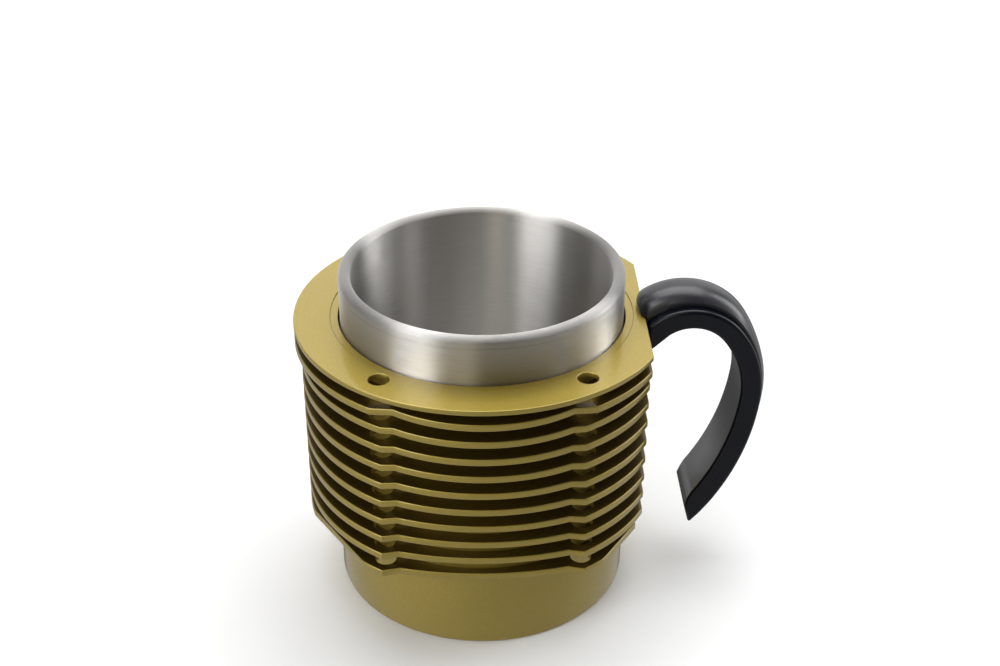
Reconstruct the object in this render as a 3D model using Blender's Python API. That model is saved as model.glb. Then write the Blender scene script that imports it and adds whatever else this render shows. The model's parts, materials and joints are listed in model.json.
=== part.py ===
"""Drinking mug styled as an air-cooled engine cylinder.

A painted finned cylinder body holds a lift-out double-wall steel cup, and an
open hook handle is screwed to the flat on the body's +X side.  The origin is
the centre of the base, +Z is up, and +X points along the handle.
"""
import math

import bmesh
import bpy
from mathutils import Vector

MM = 0.001
GAP = 0.3                      # clearance kept between touching pieces, mm

# Steel cup
RIM_Z = 105.2
CUP_RADIUS = 42.5
CUP_BORE_RADIUS = 38.9
CUP_SHEET = 0.8
LIP_DEPTH = 3.2
LIP_ROUND = 1.5
CUP_BOTTOM_Z = 13.3
CUP_FLOOR_Z = 17.0

# Cylinder body
FLANGE_Z = 91.0
FLANGE_RADIUS = 56.25
FLANGE_THICKNESS = 1.6
LAND_Z = 90.5
LAND_RADIUS = 44.6
BARREL_RADIUS = 45.0
BARREL_BORE = 43.0
SKIRT_RADIUS = 45.5
SKIRT_BAND_Z = 18.7
SKIRT_BOTTOM_Z = 0.5
LEDGE_TOP_Z = 12.0
LEDGE_BOTTOM_Z = 8.0
LEDGE_RADIUS = 36.5
RECESS_RADIUS = 41.5

# Cooling fins
FIN_COUNT = 10
FIN_TOP_Z = 86.0
FIN_PITCH = 6.4
FIN_THICKNESS = 2.2
FIN_RADIUS = 54.6
TOP_FIN_RADIUS = 56.2
FLAT_X = 48.6
SADDLE_X = 25.0
BOTTOM_CLIP = 52.5
BOTTOM_CLIP_ANGLE = math.radians(33)

# Stud holes through the flange and every fin
STUD_CIRCLE = 49.1
STUD_ANGLE = math.radians(36.2)
STUD_HOLE = 3.0

# Seal ring groove in the bore
GROOVE_Z = 80.9
GROOVE_HEIGHT = 2.4
GROOVE_DEPTH = 1.2

# Hook handle: centre line made of three arcs in the XZ plane
HANDLE_START = (50.49, 87.0)
HANDLE_HEADING = math.radians(47.1)
HANDLE_ARCS = ((15.99, math.radians(97.2)), (31.44, math.radians(44.6)), (79.1, math.radians(33.5)))
BAR_ROOT_THICKNESS = 5.8
BAR_TIP_THICKNESS = 7.3
BAR_HALF_WIDTH = 10.0
STRIP_HALF_WIDTH = 7.0
HANDLE_SCREW_Y = 5.0
HANDLE_SCREW_Z = 87.0


def clear_scene():
    """Remove every object so the script starts from nothing."""
    for old in list(bpy.data.objects):
        bpy.data.objects.remove(old, do_unlink=True)


def material(name, colour, roughness, metallic):
    """A plain Principled material."""
    mat = bpy.data.materials.new(name)
    mat.use_nodes = True
    shader = mat.node_tree.nodes["Principled BSDF"]
    shader.inputs["Base Color"].default_value = (*colour, 1.0)
    shader.inputs["Roughness"].default_value = roughness
    shader.inputs["Metallic"].default_value = metallic
    mat.diffuse_color = (*colour, 1.0)
    return mat


def add_object(name, bm, mat=None, smooth=True):
    """Turn a bmesh drawn in millimetres into a named object in metres."""
    bmesh.ops.recalc_face_normals(bm, faces=bm.faces)
    bmesh.ops.scale(bm, vec=(MM, MM, MM), verts=bm.verts)
    mesh = bpy.data.meshes.new(name)
    bm.to_mesh(mesh)
    bm.free()
    obj = bpy.data.objects.new(name, mesh)
    bpy.context.scene.collection.objects.link(obj)
    if mat is not None:
        mesh.materials.append(mat)
    if smooth:
        mesh.shade_smooth()
        mesh.set_sharp_from_angle(angle=math.radians(35))
    return obj


def add_guide(name, bm):
    """A cutter that only shapes other pieces: wire in the viewport, no render."""
    guide = add_object(name, bm, smooth=False)
    guide.hide_render = True
    guide.display_type = "WIRE"
    return guide


def boolean(obj, tool, operation):
    """Add one Boolean to the piece."""
    modifier = obj.modifiers.new(operation.title() + " " + tool.name, "BOOLEAN")
    modifier.operation = operation
    modifier.object = tool


def add_prism(bm, outline, z_low, z_high, inner=None):
    """A flat plate with the given outline, with an optional round hole."""
    loops = [outline] if inner is None else [outline, inner]
    rings = []
    for z in (z_low, z_high):
        rings.append([[bm.verts.new((x, y, z)) for x, y in loop] for loop in loops])
    for index in range(len(loops)):
        low, high = rings[0][index], rings[1][index]
        count = len(low)
        for i in range(count):
            bm.faces.new((low[i], low[(i + 1) % count], high[(i + 1) % count], high[i]))
    for level in rings:
        if inner is None:
            bm.faces.new(level[0])
            continue
        edges = []
        for loop in level:
            for i in range(len(loop)):
                edges.append(bm.edges.get((loop[i], loop[(i + 1) % len(loop)])))
        bmesh.ops.triangle_fill(bm, edges=edges, use_beauty=True)


def add_lathe(bm, profile, segments):
    """Turn a closed (radius, height) profile about Z; radius 0 points share a pole."""
    columns = []
    poles = {}
    for i in range(segments):
        angle = 2 * math.pi * i / segments
        column = []
        for k, (radius, z) in enumerate(profile):
            if radius == 0.0:
                if k not in poles:
                    poles[k] = bm.verts.new((0.0, 0.0, z))
                column.append(poles[k])
            else:
                column.append(bm.verts.new((radius * math.cos(angle), radius * math.sin(angle), z)))
        columns.append(column)
    closed = profile[0][0] != 0.0
    count = len(profile)
    for i in range(segments):
        here, there = columns[i], columns[(i + 1) % segments]
        for k in range(count if closed else count - 1):
            n = (k + 1) % count
            corners = []
            for vert in (here[k], there[k], there[n], here[n]):
                if vert not in corners:
                    corners.append(vert)
            bm.faces.new(corners)


def add_rod(bm, start, end, radius, segments=16):
    """A plain round rod between two points."""
    start, end = Vector(start), Vector(end)
    axis = (end - start).normalized()
    side = axis.orthogonal().normalized()
    up = axis.cross(side)
    rings = []
    for centre in (start, end):
        ring = []
        for i in range(segments):
            angle = 2 * math.pi * i / segments
            ring.append(bm.verts.new(centre + radius * (math.cos(angle) * side + math.sin(angle) * up)))
        rings.append(ring)
    for i in range(segments):
        n = (i + 1) % segments
        bm.faces.new((rings[0][i], rings[0][n], rings[1][n], rings[1][i]))
    bm.faces.new(rings[0][::-1])
    bm.faces.new(rings[1])


def add_box(bm, low, high):
    """An upright box between two corners."""
    matrix_verts = bmesh.ops.create_cube(bm, size=1.0)["verts"]
    for vert in matrix_verts:
        for axis in range(3):
            vert.co[axis] = low[axis] if vert.co[axis] < 0 else high[axis]


def arc(centre_x, centre_y, radius, start, end, steps):
    """Points on an arc, both ends included."""
    points = []
    for i in range(steps + 1):
        angle = start + (end - start) * i / steps
        points.append((centre_x + radius * math.cos(angle), centre_y + radius * math.sin(angle)))
    return points


def circle(radius, steps):
    """A closed round outline."""
    return arc(0, 0, radius, 0, 2 * math.pi, steps)[:-1]


def flange_outline():
    """A circle with one flat, where the handle sits."""
    corner = math.acos(FLAT_X / FLANGE_RADIUS)
    return arc(0, 0, FLANGE_RADIUS, corner, 2 * math.pi - corner, 56)


def fin_outline(index):
    """Round sides, a flat at +X, a saddle by each stud, and a bowed front and back.

    The bow gets shallower from the top fin to the bottom one.
    """
    radius = TOP_FIN_RADIUS if index == 0 else FIN_RADIUS
    apex = 55.4 if index == 0 else 55.04 - 0.84 * index
    shoulder = 47.2 - 0.3 * index
    corner_y = 46.6 - 0.1 * index
    rise = apex - shoulder
    bow_radius = (SADDLE_X ** 2 + rise ** 2) / (2 * rise)
    half_angle = math.asin(SADDLE_X / bow_radius)
    bow_centre = apex - bow_radius

    def side(start, end, steps):
        points = []
        for x, y in arc(0, 0, radius, start, end, steps):
            if index == FIN_COUNT - 1:
                angle = math.atan2(abs(y), abs(x))
                reach = BOTTOM_CLIP / max(0.2, math.cos(angle - BOTTOM_CLIP_ANGLE))
                scale = min(1.0, reach / radius)
                x, y = x * scale, y * scale
            points.append((min(x, FLAT_X), y))
        return points

    flat_angle = math.acos(FLAT_X / radius)
    corner_angle = math.asin(corner_y / radius)
    up = math.pi / 2
    outline = side(flat_angle, corner_angle, 5)
    outline += arc(0, bow_centre, bow_radius, up - half_angle, up + half_angle, 10)
    outline += side(math.pi - corner_angle, math.pi + corner_angle, 18)
    outline += arc(0, -bow_centre, bow_radius, -up - half_angle, -up + half_angle, 10)
    outline += side(-corner_angle, -flat_angle, 5)
    return outline


def stud_centres():
    """The four stud axes, in pairs at the front and the back."""
    x = STUD_CIRCLE * math.sin(STUD_ANGLE)
    y = STUD_CIRCLE * math.cos(STUD_ANGLE)
    return [(sx * x, sy * y) for sx in (-1, 1) for sy in (-1, 1)]


def build_cylinder(mat):
    """Barrel, flange, fins and handle pad, joined and drilled."""
    bm = bmesh.new()
    groove_low = GROOVE_Z - GROOVE_HEIGHT / 2
    groove_high = GROOVE_Z + GROOVE_HEIGHT / 2
    fin_bottom = FIN_TOP_Z - FIN_PITCH * (FIN_COUNT - 1) - FIN_THICKNESS
    profile = [
        (RECESS_RADIUS, SKIRT_BOTTOM_Z), (SKIRT_RADIUS - 0.5, SKIRT_BOTTOM_Z),
        (SKIRT_RADIUS, SKIRT_BOTTOM_Z + 0.5), (SKIRT_RADIUS, SKIRT_BAND_Z),
        (SKIRT_RADIUS - 0.25, SKIRT_BAND_Z + 0.25), (SKIRT_RADIUS - 0.25, fin_bottom + 1.0),
        (BARREL_RADIUS, fin_bottom + 1.2), (BARREL_RADIUS, LAND_Z),
        (BARREL_BORE, LAND_Z), (BARREL_BORE, groove_high),
        (BARREL_BORE + GROOVE_DEPTH, groove_high), (BARREL_BORE + GROOVE_DEPTH, groove_low),
        (BARREL_BORE, groove_low), (BARREL_BORE, LEDGE_TOP_Z),
        (LEDGE_RADIUS, LEDGE_TOP_Z), (LEDGE_RADIUS, LEDGE_BOTTOM_Z),
        (RECESS_RADIUS, LEDGE_BOTTOM_Z),
    ]
    add_lathe(bm, profile, 64)
    body = add_object("finned_cylinder", bm, mat)

    plates = bmesh.new()
    flange_hole = circle(LAND_RADIUS, 64)
    add_prism(plates, flange_outline(), FLANGE_Z - FLANGE_THICKNESS, FLANGE_Z, flange_hole)
    for index in range(FIN_COUNT):
        top = FIN_TOP_Z - FIN_PITCH * index
        add_prism(plates, fin_outline(index), top - FIN_THICKNESS, top, circle(44.3, 64))
    boolean(body, add_guide("guide_fins", plates), "UNION")

    pad = bmesh.new()
    add_box(pad, (43.9, -9.0, FIN_TOP_Z - 1.0), (FLAT_X - 0.1, 9.0, FLANGE_Z - FLANGE_THICKNESS + 0.5))
    boolean(body, add_guide("guide_pad", pad), "UNION")

    drills = bmesh.new()
    for x, y in stud_centres():
        add_rod(drills, (x, y, 20.0), (x, y, 100.0), STUD_HOLE)
    for sign in (-1, 1):
        y = sign * HANDLE_SCREW_Y
        add_rod(drills, (36.0, y, HANDLE_SCREW_Z), (45.4, y, HANDLE_SCREW_Z), 2.8)
    for x, y in base_screw_centres():
        add_rod(drills, (x, y, 4.0), (x, y, LEDGE_TOP_Z - 0.8), 1.5, 12)
    boolean(body, add_guide("guide_drills", drills), "DIFFERENCE")

    shanks = bmesh.new()
    for sign in (-1, 1):
        y = sign * HANDLE_SCREW_Y
        add_rod(shanks, (45.0, y, HANDLE_SCREW_Z), (52.0, y, HANDLE_SCREW_Z), 1.8, 12)
    boolean(body, add_guide("guide_shanks", shanks), "DIFFERENCE")
    return body


def build_cup(steel):
    """Inner liner with the rolled lip, outer jacket and bottom disc."""
    bore, outer = CUP_BORE_RADIUS, CUP_RADIUS
    r = LIP_ROUND
    lip = []
    for x, z in arc(outer - r, RIM_Z - r, r, 0, math.pi / 2, 4):
        lip.append((x, z))
    for x, z in arc(bore + r, RIM_Z - r, r, math.pi / 2, math.pi, 4):
        lip.append((x, z))
    liner = [(0.0, CUP_FLOOR_Z - CUP_SHEET), (bore - 2.2, CUP_FLOOR_Z - CUP_SHEET)]
    liner += [(bore - 0.4, CUP_FLOOR_Z + 0.2), (bore + CUP_SHEET, CUP_FLOOR_Z + 2.2)]
    liner += [(bore + CUP_SHEET, RIM_Z - LIP_DEPTH), (outer, RIM_Z - LIP_DEPTH)]
    liner += lip
    liner += [(bore, CUP_FLOOR_Z + 3.0), (bore - 0.9, CUP_FLOOR_Z + 0.9)]
    liner += [(bore - 3.0, CUP_FLOOR_Z), (0.0, CUP_FLOOR_Z)]
    bm = bmesh.new()
    add_lathe(bm, liner, 64)
    add_object("cup_liner", bm, steel)

    top = RIM_Z - LIP_DEPTH - GAP
    jacket = [(outer - CUP_SHEET, CUP_BOTTOM_Z), (outer - 0.4, CUP_BOTTOM_Z), (outer, CUP_BOTTOM_Z + 0.6)]
    jacket += [(outer, top), (outer - CUP_SHEET, top)]
    bm = bmesh.new()
    add_lathe(bm, jacket, 64)
    add_object("cup_jacket", bm, steel)

    disc_radius = outer - CUP_SHEET - GAP
    disc = [(0.0, CUP_BOTTOM_Z + 0.3), (disc_radius, CUP_BOTTOM_Z + 0.3)]
    disc += [(disc_radius, CUP_BOTTOM_Z + 1.3), (0.0, CUP_BOTTOM_Z + 1.3)]
    bm = bmesh.new()
    add_lathe(bm, disc, 48)
    add_object("cup_bottom_disc", bm, steel)


def build_soft_rings(rubber, silicone):
    """The ring that steadies the cup at the top and the one that it stands on."""
    low = GROOVE_Z - GROOVE_HEIGHT / 2 + GAP
    high = GROOVE_Z + GROOVE_HEIGHT / 2 - GAP
    inner = CUP_RADIUS + GAP
    outer = BARREL_BORE + GROOVE_DEPTH - GAP
    bm = bmesh.new()
    section = [(inner, low + 0.4), (inner + 0.35, low), (outer, low)]
    section += [(outer, high), (inner + 0.35, high), (inner, high - 0.4)]
    add_lathe(bm, section, 64)
    add_object("cup_seal_ring", bm, rubber)

    bm = bmesh.new()
    low, high = LEDGE_TOP_Z + GAP, CUP_BOTTOM_Z - GAP
    add_lathe(bm, [(37.0, low), (BARREL_BORE - 0.4, low), (BARREL_BORE - 0.4, high), (37.0, high)], 64)
    add_object("cup_cushion_ring", bm, silicone)


def base_screw_centres():
    """Four base screws on the diagonals of the ledge."""
    points = arc(0, 0, 39.0, math.radians(45), math.radians(315), 3)
    return points


def build_base(painted, steel, rubber):
    """Bottom plate, its screws and the rubber foot pad."""
    plate_low, plate_high = LEDGE_BOTTOM_Z - GAP - 3.0, LEDGE_BOTTOM_Z - GAP
    radius = RECESS_RADIUS - GAP
    bm = bmesh.new()
    add_lathe(bm, [(0.0, plate_low), (radius, plate_low), (radius, plate_high), (0.0, plate_high)], 48)
    plate = add_object("base_plate", bm, painted)
    holes = bmesh.new()
    for x, y in base_screw_centres():
        add_rod(holes, (x, y, plate_low - 1.0), (x, y, plate_high + 1.0), 1.6, 12)
    boolean(plate, add_guide("guide_plate_holes", holes), "DIFFERENCE")
    sinks = bmesh.new()
    for x, y in base_screw_centres():
        add_rod(sinks, (x, y, plate_low - 1.0), (x, y, plate_low + 1.3), 2.4, 12)
    boolean(plate, add_guide("guide_plate_sinks", sinks), "DIFFERENCE")

    length = LEDGE_TOP_Z - 1.3 - (plate_low + 0.1)
    head = [(0.0, 0.0), (2.1, 0.0), (2.1, 0.9), (1.2, 0.9), (1.2, length), (0.0, length)]
    for number, (x, y) in enumerate(base_screw_centres()):
        bm = bmesh.new()
        add_lathe(bm, head, 12)
        screw = add_object("base_screw_%d" % (number + 1), bm, steel)
        screw.location = (x * MM, y * MM, (plate_low + 0.1) * MM)

    bm = bmesh.new()
    top = plate_low - GAP
    pad = [(0.0, 0.0), (radius - 0.8, 0.0), (radius, 0.8), (radius, top), (0.0, top)]
    add_lathe(bm, pad, 48)
    add_object("foot_pad", bm, rubber)


def handle_frames(steps, extra=0.0, first=0.0, last=1.0):
    """Points, outward normals and path fractions along the handle's centre line."""
    x, z = HANDLE_START
    heading = HANDLE_HEADING
    total = sum(radius * turn for radius, turn in HANDLE_ARCS)
    frames = []
    done = 0.0
    for number, (radius, turn) in enumerate(HANDLE_ARCS):
        centre_x = x + radius * math.sin(heading)
        centre_z = z - radius * math.cos(heading)
        lead = extra if number == 0 else 0.0
        count = max(3, round(steps * radius * turn / total))
        for i in range(count + 1):
            if number > 0 and i == 0:
                continue
            swept = -lead + (turn + lead) * i / count
            h = heading - swept
            fraction = (done + radius * swept) / total
            if first <= fraction <= last:
                point = (centre_x - radius * math.sin(h), centre_z + radius * math.cos(h))
                frames.append((point, (-math.sin(h), math.cos(h)), fraction))
        done += radius * turn
        heading -= turn
        x = centre_x - radius * math.sin(heading)
        z = centre_z + radius * math.cos(heading)
    return frames


def add_loft(bm, sections):
    """Skin closed sections of equal point count, and cap both ends."""
    rings = [[bm.verts.new(point) for point in section] for section in sections]
    count = len(rings[0])
    for near, far in zip(rings, rings[1:]):
        for i in range(count):
            n = (i + 1) % count
            bm.faces.new((near[i], near[n], far[n], far[i]))
    bm.faces.new(rings[0][::-1])
    bm.faces.new(rings[-1])


def bar_section(point, normal, thickness):
    """A rounded rectangle across the handle bar."""
    half = thickness / 2
    r = 0.9
    section = []
    corners = ((1, 1), (-1, 1), (-1, -1), (1, -1))
    for number, (sy, sd) in enumerate(corners):
        for y, d in arc(sy * (BAR_HALF_WIDTH - r), sd * (half - r), r,
                        number * math.pi / 2, (number + 1) * math.pi / 2, 3):
            section.append((point[0] + normal[0] * d, y, point[1] + normal[1] * d))
    return section


def bar_thickness(fraction):
    """The bar swells gently from the root to the tip."""
    return BAR_ROOT_THICKNESS + (BAR_TIP_THICKNESS - BAR_ROOT_THICKNESS) * fraction


def strip_section(point, normal, fraction):
    """The raised outer rib: straight sides and a domed top that sinks along the hook."""
    fade = min(1.0, max(0.0, fraction) / 0.42)
    fade = fade * fade * (3 - 2 * fade)
    base = bar_thickness(max(0.0, fraction)) / 2 + GAP
    shoulder = base + 2.4 - 2.0 * fade
    dome = 3.0 - 1.7 * fade
    section = [(-STRIP_HALF_WIDTH, base), (-STRIP_HALF_WIDTH, shoulder)]
    for i in range(1, 8):
        angle = math.pi * i / 8
        section.append((-STRIP_HALF_WIDTH * math.cos(angle), shoulder + dome * math.sin(angle)))
    section += [(STRIP_HALF_WIDTH, shoulder), (STRIP_HALF_WIDTH, base)]
    return [(point[0] + normal[0] * d, y, point[1] + normal[1] * d) for y, d in section]


def build_handle(black, satin, steel):
    """Hook bar, its outer strip and the two screws that hold the bar."""
    frames = handle_frames(34, first=0.045, last=0.93)
    sections = [bar_section((FLAT_X + GAP, 85.4), (0.0, 1.0), 8.4)]
    sections += [bar_section(p, n, bar_thickness(s)) for p, n, s in frames]
    sections.append(bar_section((64.95, 21.1), (0.28, -0.96), 6.1))
    bm = bmesh.new()
    add_loft(bm, sections)
    bar = add_object("handle_bar", bm, black)
    holes = bmesh.new()
    for sign in (-1, 1):
        y = sign * HANDLE_SCREW_Y
        add_rod(holes, (47.0, y, HANDLE_SCREW_Z), (52.5, y, HANDLE_SCREW_Z), 1.7, 12)
    boolean(bar, add_guide("guide_bar_holes", holes), "DIFFERENCE")

    bm = bmesh.new()
    frames = handle_frames(34, extra=math.radians(14), first=-1.0, last=0.9)
    add_loft(bm, [strip_section(p, n, s) for p, n, s in frames])
    strip = add_object("handle_strip", bm, satin)
    trim = bmesh.new()
    add_box(trim, (30.0, -12.0, 70.0), (46.4, 12.0, 110.0))
    boolean(strip, add_guide("guide_strip_end", trim), "DIFFERENCE")
    trim = bmesh.new()
    add_box(trim, (30.0, -13.0, 70.0), (FLAT_X + GAP, 13.0, FLANGE_Z + GAP))
    boolean(strip, add_guide("guide_strip_seat", trim), "DIFFERENCE")

    head = [(0.0, 0.0), (2.4, 0.0), (2.4, 1.8), (1.4, 1.8), (1.4, 8.8), (0.0, 8.8)]
    for number, sign in enumerate((-1, 1)):
        bm = bmesh.new()
        add_lathe(bm, head, 12)
        screw = add_object("handle_screw_%d" % (number + 1), bm, steel)
        screw.location = (43.3 * MM, sign * HANDLE_SCREW_Y * MM, HANDLE_SCREW_Z * MM)
        screw.rotation_euler = (0.0, math.pi / 2, 0.0)


def main():
    clear_scene()
    paint = material("olive_gold_paint", (0.33, 0.27, 0.12), 0.42, 0.6)
    brushed = material("brushed_steel", (0.58, 0.56, 0.53), 0.32, 1.0)
    zinc = material("zinc_plated_steel", (0.55, 0.56, 0.58), 0.35, 1.0)
    black = material("black_satin_coat", (0.02, 0.022, 0.028), 0.42, 0.0)
    charcoal = material("charcoal_satin_coat", (0.05, 0.05, 0.058), 0.36, 0.0)
    rubber = material("black_rubber", (0.02, 0.02, 0.02), 0.8, 0.0)
    silicone = material("grey_silicone", (0.18, 0.18, 0.18), 0.6, 0.0)
    build_cylinder(paint)
    build_cup(brushed)
    build_soft_rings(rubber, silicone)
    build_base(paint, zinc, rubber)
    build_handle(black, charcoal, zinc)


main()
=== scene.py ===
# %% [markdown]
# # A mug made like an air-cooled engine cylinder
# A real one has a turned and painted aluminium body with ten thin cooling fins, a brushed
# double-wall steel cup that stands inside it, and a black hook handle.
# The measured CAD model gives every place and size, and this lesson gives it its looks.

# %% Load the measured model
import json
import math

import bmesh
import bpy
from mathutils import Matrix, Vector

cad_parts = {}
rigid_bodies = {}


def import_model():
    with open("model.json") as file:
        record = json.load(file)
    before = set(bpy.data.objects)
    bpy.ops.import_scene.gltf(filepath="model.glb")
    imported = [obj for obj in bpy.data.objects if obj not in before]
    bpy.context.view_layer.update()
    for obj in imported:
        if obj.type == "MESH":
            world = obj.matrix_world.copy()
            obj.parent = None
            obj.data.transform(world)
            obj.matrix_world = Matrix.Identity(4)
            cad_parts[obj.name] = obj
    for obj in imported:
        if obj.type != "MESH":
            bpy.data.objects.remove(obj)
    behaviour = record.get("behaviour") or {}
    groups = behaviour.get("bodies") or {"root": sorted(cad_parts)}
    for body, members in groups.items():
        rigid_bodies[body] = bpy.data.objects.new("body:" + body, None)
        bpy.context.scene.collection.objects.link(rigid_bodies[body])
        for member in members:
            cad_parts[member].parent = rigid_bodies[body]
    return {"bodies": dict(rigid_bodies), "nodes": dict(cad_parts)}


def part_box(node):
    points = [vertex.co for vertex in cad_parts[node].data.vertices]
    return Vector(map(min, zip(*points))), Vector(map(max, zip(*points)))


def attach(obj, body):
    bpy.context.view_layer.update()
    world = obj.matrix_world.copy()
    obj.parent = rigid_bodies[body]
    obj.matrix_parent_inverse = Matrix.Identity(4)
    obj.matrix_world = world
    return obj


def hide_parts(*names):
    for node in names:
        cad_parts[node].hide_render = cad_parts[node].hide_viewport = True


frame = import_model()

# Blender's start-up cube, lamp and camera go; only the measured model stays.
measured = list(frame["nodes"].values()) + list(frame["bodies"].values())
for old in list(bpy.data.objects):
    if old not in measured:
        bpy.data.objects.remove(old)

MM = 0.001
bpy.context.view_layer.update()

# %% [markdown]
# ## The camera
# A mug looks natural from a little above, near the eye of somebody at the table.
# The camera stands 445 mm off and looks down at 30 degrees, with a lens of about 53 mm, so the
# near side of each ring looks a little larger than the far side.

# %% Camera
AIM = Vector((5.5, -0.14, 82.57)) * MM
CAMERA_DISTANCE = 444.8 * MM
CAMERA_DOWN = math.radians(30.25)
CAMERA_TURN = math.radians(-1.44)
CAMERA_ROLL = math.radians(0.35)

lens = bpy.data.cameras.new("camera")
lens.sensor_width = 36.0
lens.lens = 52.86
lens.clip_start = 0.01
camera = bpy.data.objects.new("camera", lens)
bpy.context.scene.collection.objects.link(camera)
turn = Matrix.Rotation(CAMERA_TURN, 4, "Z") @ Matrix.Rotation(math.pi / 2 - CAMERA_DOWN, 4, "X")
turn = turn @ Matrix.Rotation(CAMERA_ROLL, 4, "Z")
back_off = turn.to_3x3() @ Vector((0, 0, CAMERA_DISTANCE))
camera.matrix_world = Matrix.Translation(AIM + back_off) @ turn
bpy.context.scene.camera = camera
print("camera at mm:", [round(v / MM) for v in camera.matrix_world.translation])

# %% [markdown]
# ## One function for every node
# Blender's materials are little machines of linked nodes.
# This function adds one node, sets its options and fills its inputs.
# An input given as another node's output is linked, and anything else is typed in.
# Colours are written as the hex numbers of a paint chart, and one function makes them linear.

# %% Node and colour helpers
def add_node(tree, kind, inputs=None, **settings):
    """Add one node; inputs are named or numbered sockets, each a value or an output to link."""
    node = tree.nodes.new(kind)
    for name, value in settings.items():
        setattr(node, name, value)
    for name, value in (inputs or {}).items():
        if isinstance(value, bpy.types.NodeSocket):
            tree.links.new(value, node.inputs[name])
        else:
            node.inputs[name].default_value = value
    return node


def linear(hex_colour):
    """An sRGB hex colour as linear RGBA."""
    channels = []
    for start in (1, 3, 5):
        value = int(hex_colour[start:start + 2], 16) / 255
        channels.append(value / 12.92 if value <= 0.04045 else ((value + 0.055) / 1.055) ** 2.4)
    return (*channels, 1.0)


def new_material(name):
    """A material with only its output; returns it with its tree and output node."""
    made = bpy.data.materials.new(name)
    made.use_nodes = True
    made.node_tree.nodes.clear()
    return made, made.node_tree, made.node_tree.nodes.new("ShaderNodeOutputMaterial")


# %% [markdown]
# ## Floor and light
# The mug stands on a plain white sheet in a bright room.
# Two upright strip lights, left and right, draw the upright streaks in the steel.
# A wide soft box above and behind gives the flange and the handle their sheen.
# The sheet is left out of mirror reflections, so the skirt mirrors the room's dim floor instead.

# %% Floor
def add_floor():
    """A large plain sheet with a very faint paper grain."""
    made, tree, output = new_material("white_backdrop_paper")
    where = add_node(tree, "ShaderNodeTexCoord").outputs["Object"]
    grain = add_node(tree, "ShaderNodeTexNoise", {"Vector": where, "Scale": 60.0, "Detail": 3.0})
    tone = add_node(tree, "ShaderNodeMix", {"Factor": grain.outputs["Fac"], "A": linear("#F4F5F6"),
                                            "B": linear("#F7F8F9")}, data_type="RGBA")
    shader = add_node(tree, "ShaderNodeBsdfPrincipled", {"Base Color": tone.outputs["Result"],
                                                         "Roughness": 0.9})
    tree.links.new(shader.outputs["BSDF"], output.inputs["Surface"])
    mesh = bpy.data.meshes.new("floor")
    half = 3.0      # metres, far beyond the picture's edges
    mesh.from_pydata([(-half, -half, 0), (half, -half, 0), (half, half, 0), (-half, half, 0)], [],
                     [(0, 1, 2, 3)])
    mesh.materials.append(made)
    floor = bpy.data.objects.new("floor", mesh)
    bpy.context.scene.collection.objects.link(floor)
    floor.visible_glossy = False


add_floor()


# %% Lights
def add_light(name, place, target, size, watts, colour="#FFFFFF"):
    """A soft rectangular light in mm, turned to face its target."""
    data = bpy.data.lights.new(name, "AREA")
    data.shape = "RECTANGLE"
    data.size, data.size_y = size[0] * MM, size[1] * MM
    data.energy = watts
    data.color = linear(colour)[:3]
    light = bpy.data.objects.new(name, data)
    bpy.context.scene.collection.objects.link(light)
    place, target = Vector(place) * MM, Vector(target) * MM
    light.location = place
    light.rotation_euler = (target - place).to_track_quat("-Z", "Y").to_euler()
    light.visible_camera = False


MIDDLE = (0, 0, 60)
add_light("overhead_box", (0, 350, 1500), MIDDLE, (1600, 1200), 19.0)

# %% [markdown]
# The walls of the room are drawn by the world, as panels with soft edges, each mixed over the one
# before it: the dim sides first, then the pale screen behind, then narrow gaps of light, and last
# the two bright strip lights.
# Steel and paint are only as lively as what they mirror, so these panels set every streak.
# The camera itself sees plain white behind the mug, which the Light Path node gives: it tells a ray
# that comes straight from the camera from one that has met the mug first.

# %% Room
world = bpy.data.worlds.new("studio_room")
bpy.context.scene.world = world
world.use_nodes = True
room = world.node_tree
room.nodes.clear()
ray = add_node(room, "ShaderNodeTexCoord").outputs["Generated"]
level = add_node(room, "ShaderNodeVectorMath", {0: ray, 1: (1, 1, 0)}, operation="MULTIPLY")
compass = add_node(room, "ShaderNodeVectorMath", {0: level.outputs["Vector"]},
                   operation="NORMALIZE")
rise = add_node(room, "ShaderNodeSeparateXYZ", {"Vector": ray}).outputs["Z"]


def soft_step(value, low, high):
    """0 below the first angle's sine and 1 above the second's."""
    step = add_node(room, "ShaderNodeMapRange", {
        "Value": value, "From Min": math.sin(math.radians(low)),
        "From Max": math.sin(math.radians(high))}, interpolation_type="SMOOTHSTEP")
    return step.outputs["Result"]


WHITE = (1.0, 1.0, 1.0)
WARM = (1.0, 0.92, 0.76)
DOWN, UP = -99, 99      # a panel with one of these goes on to straight below or above
HEIGHT_BLUR = 6         # degrees each way over which a panel's top and bottom fade


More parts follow.
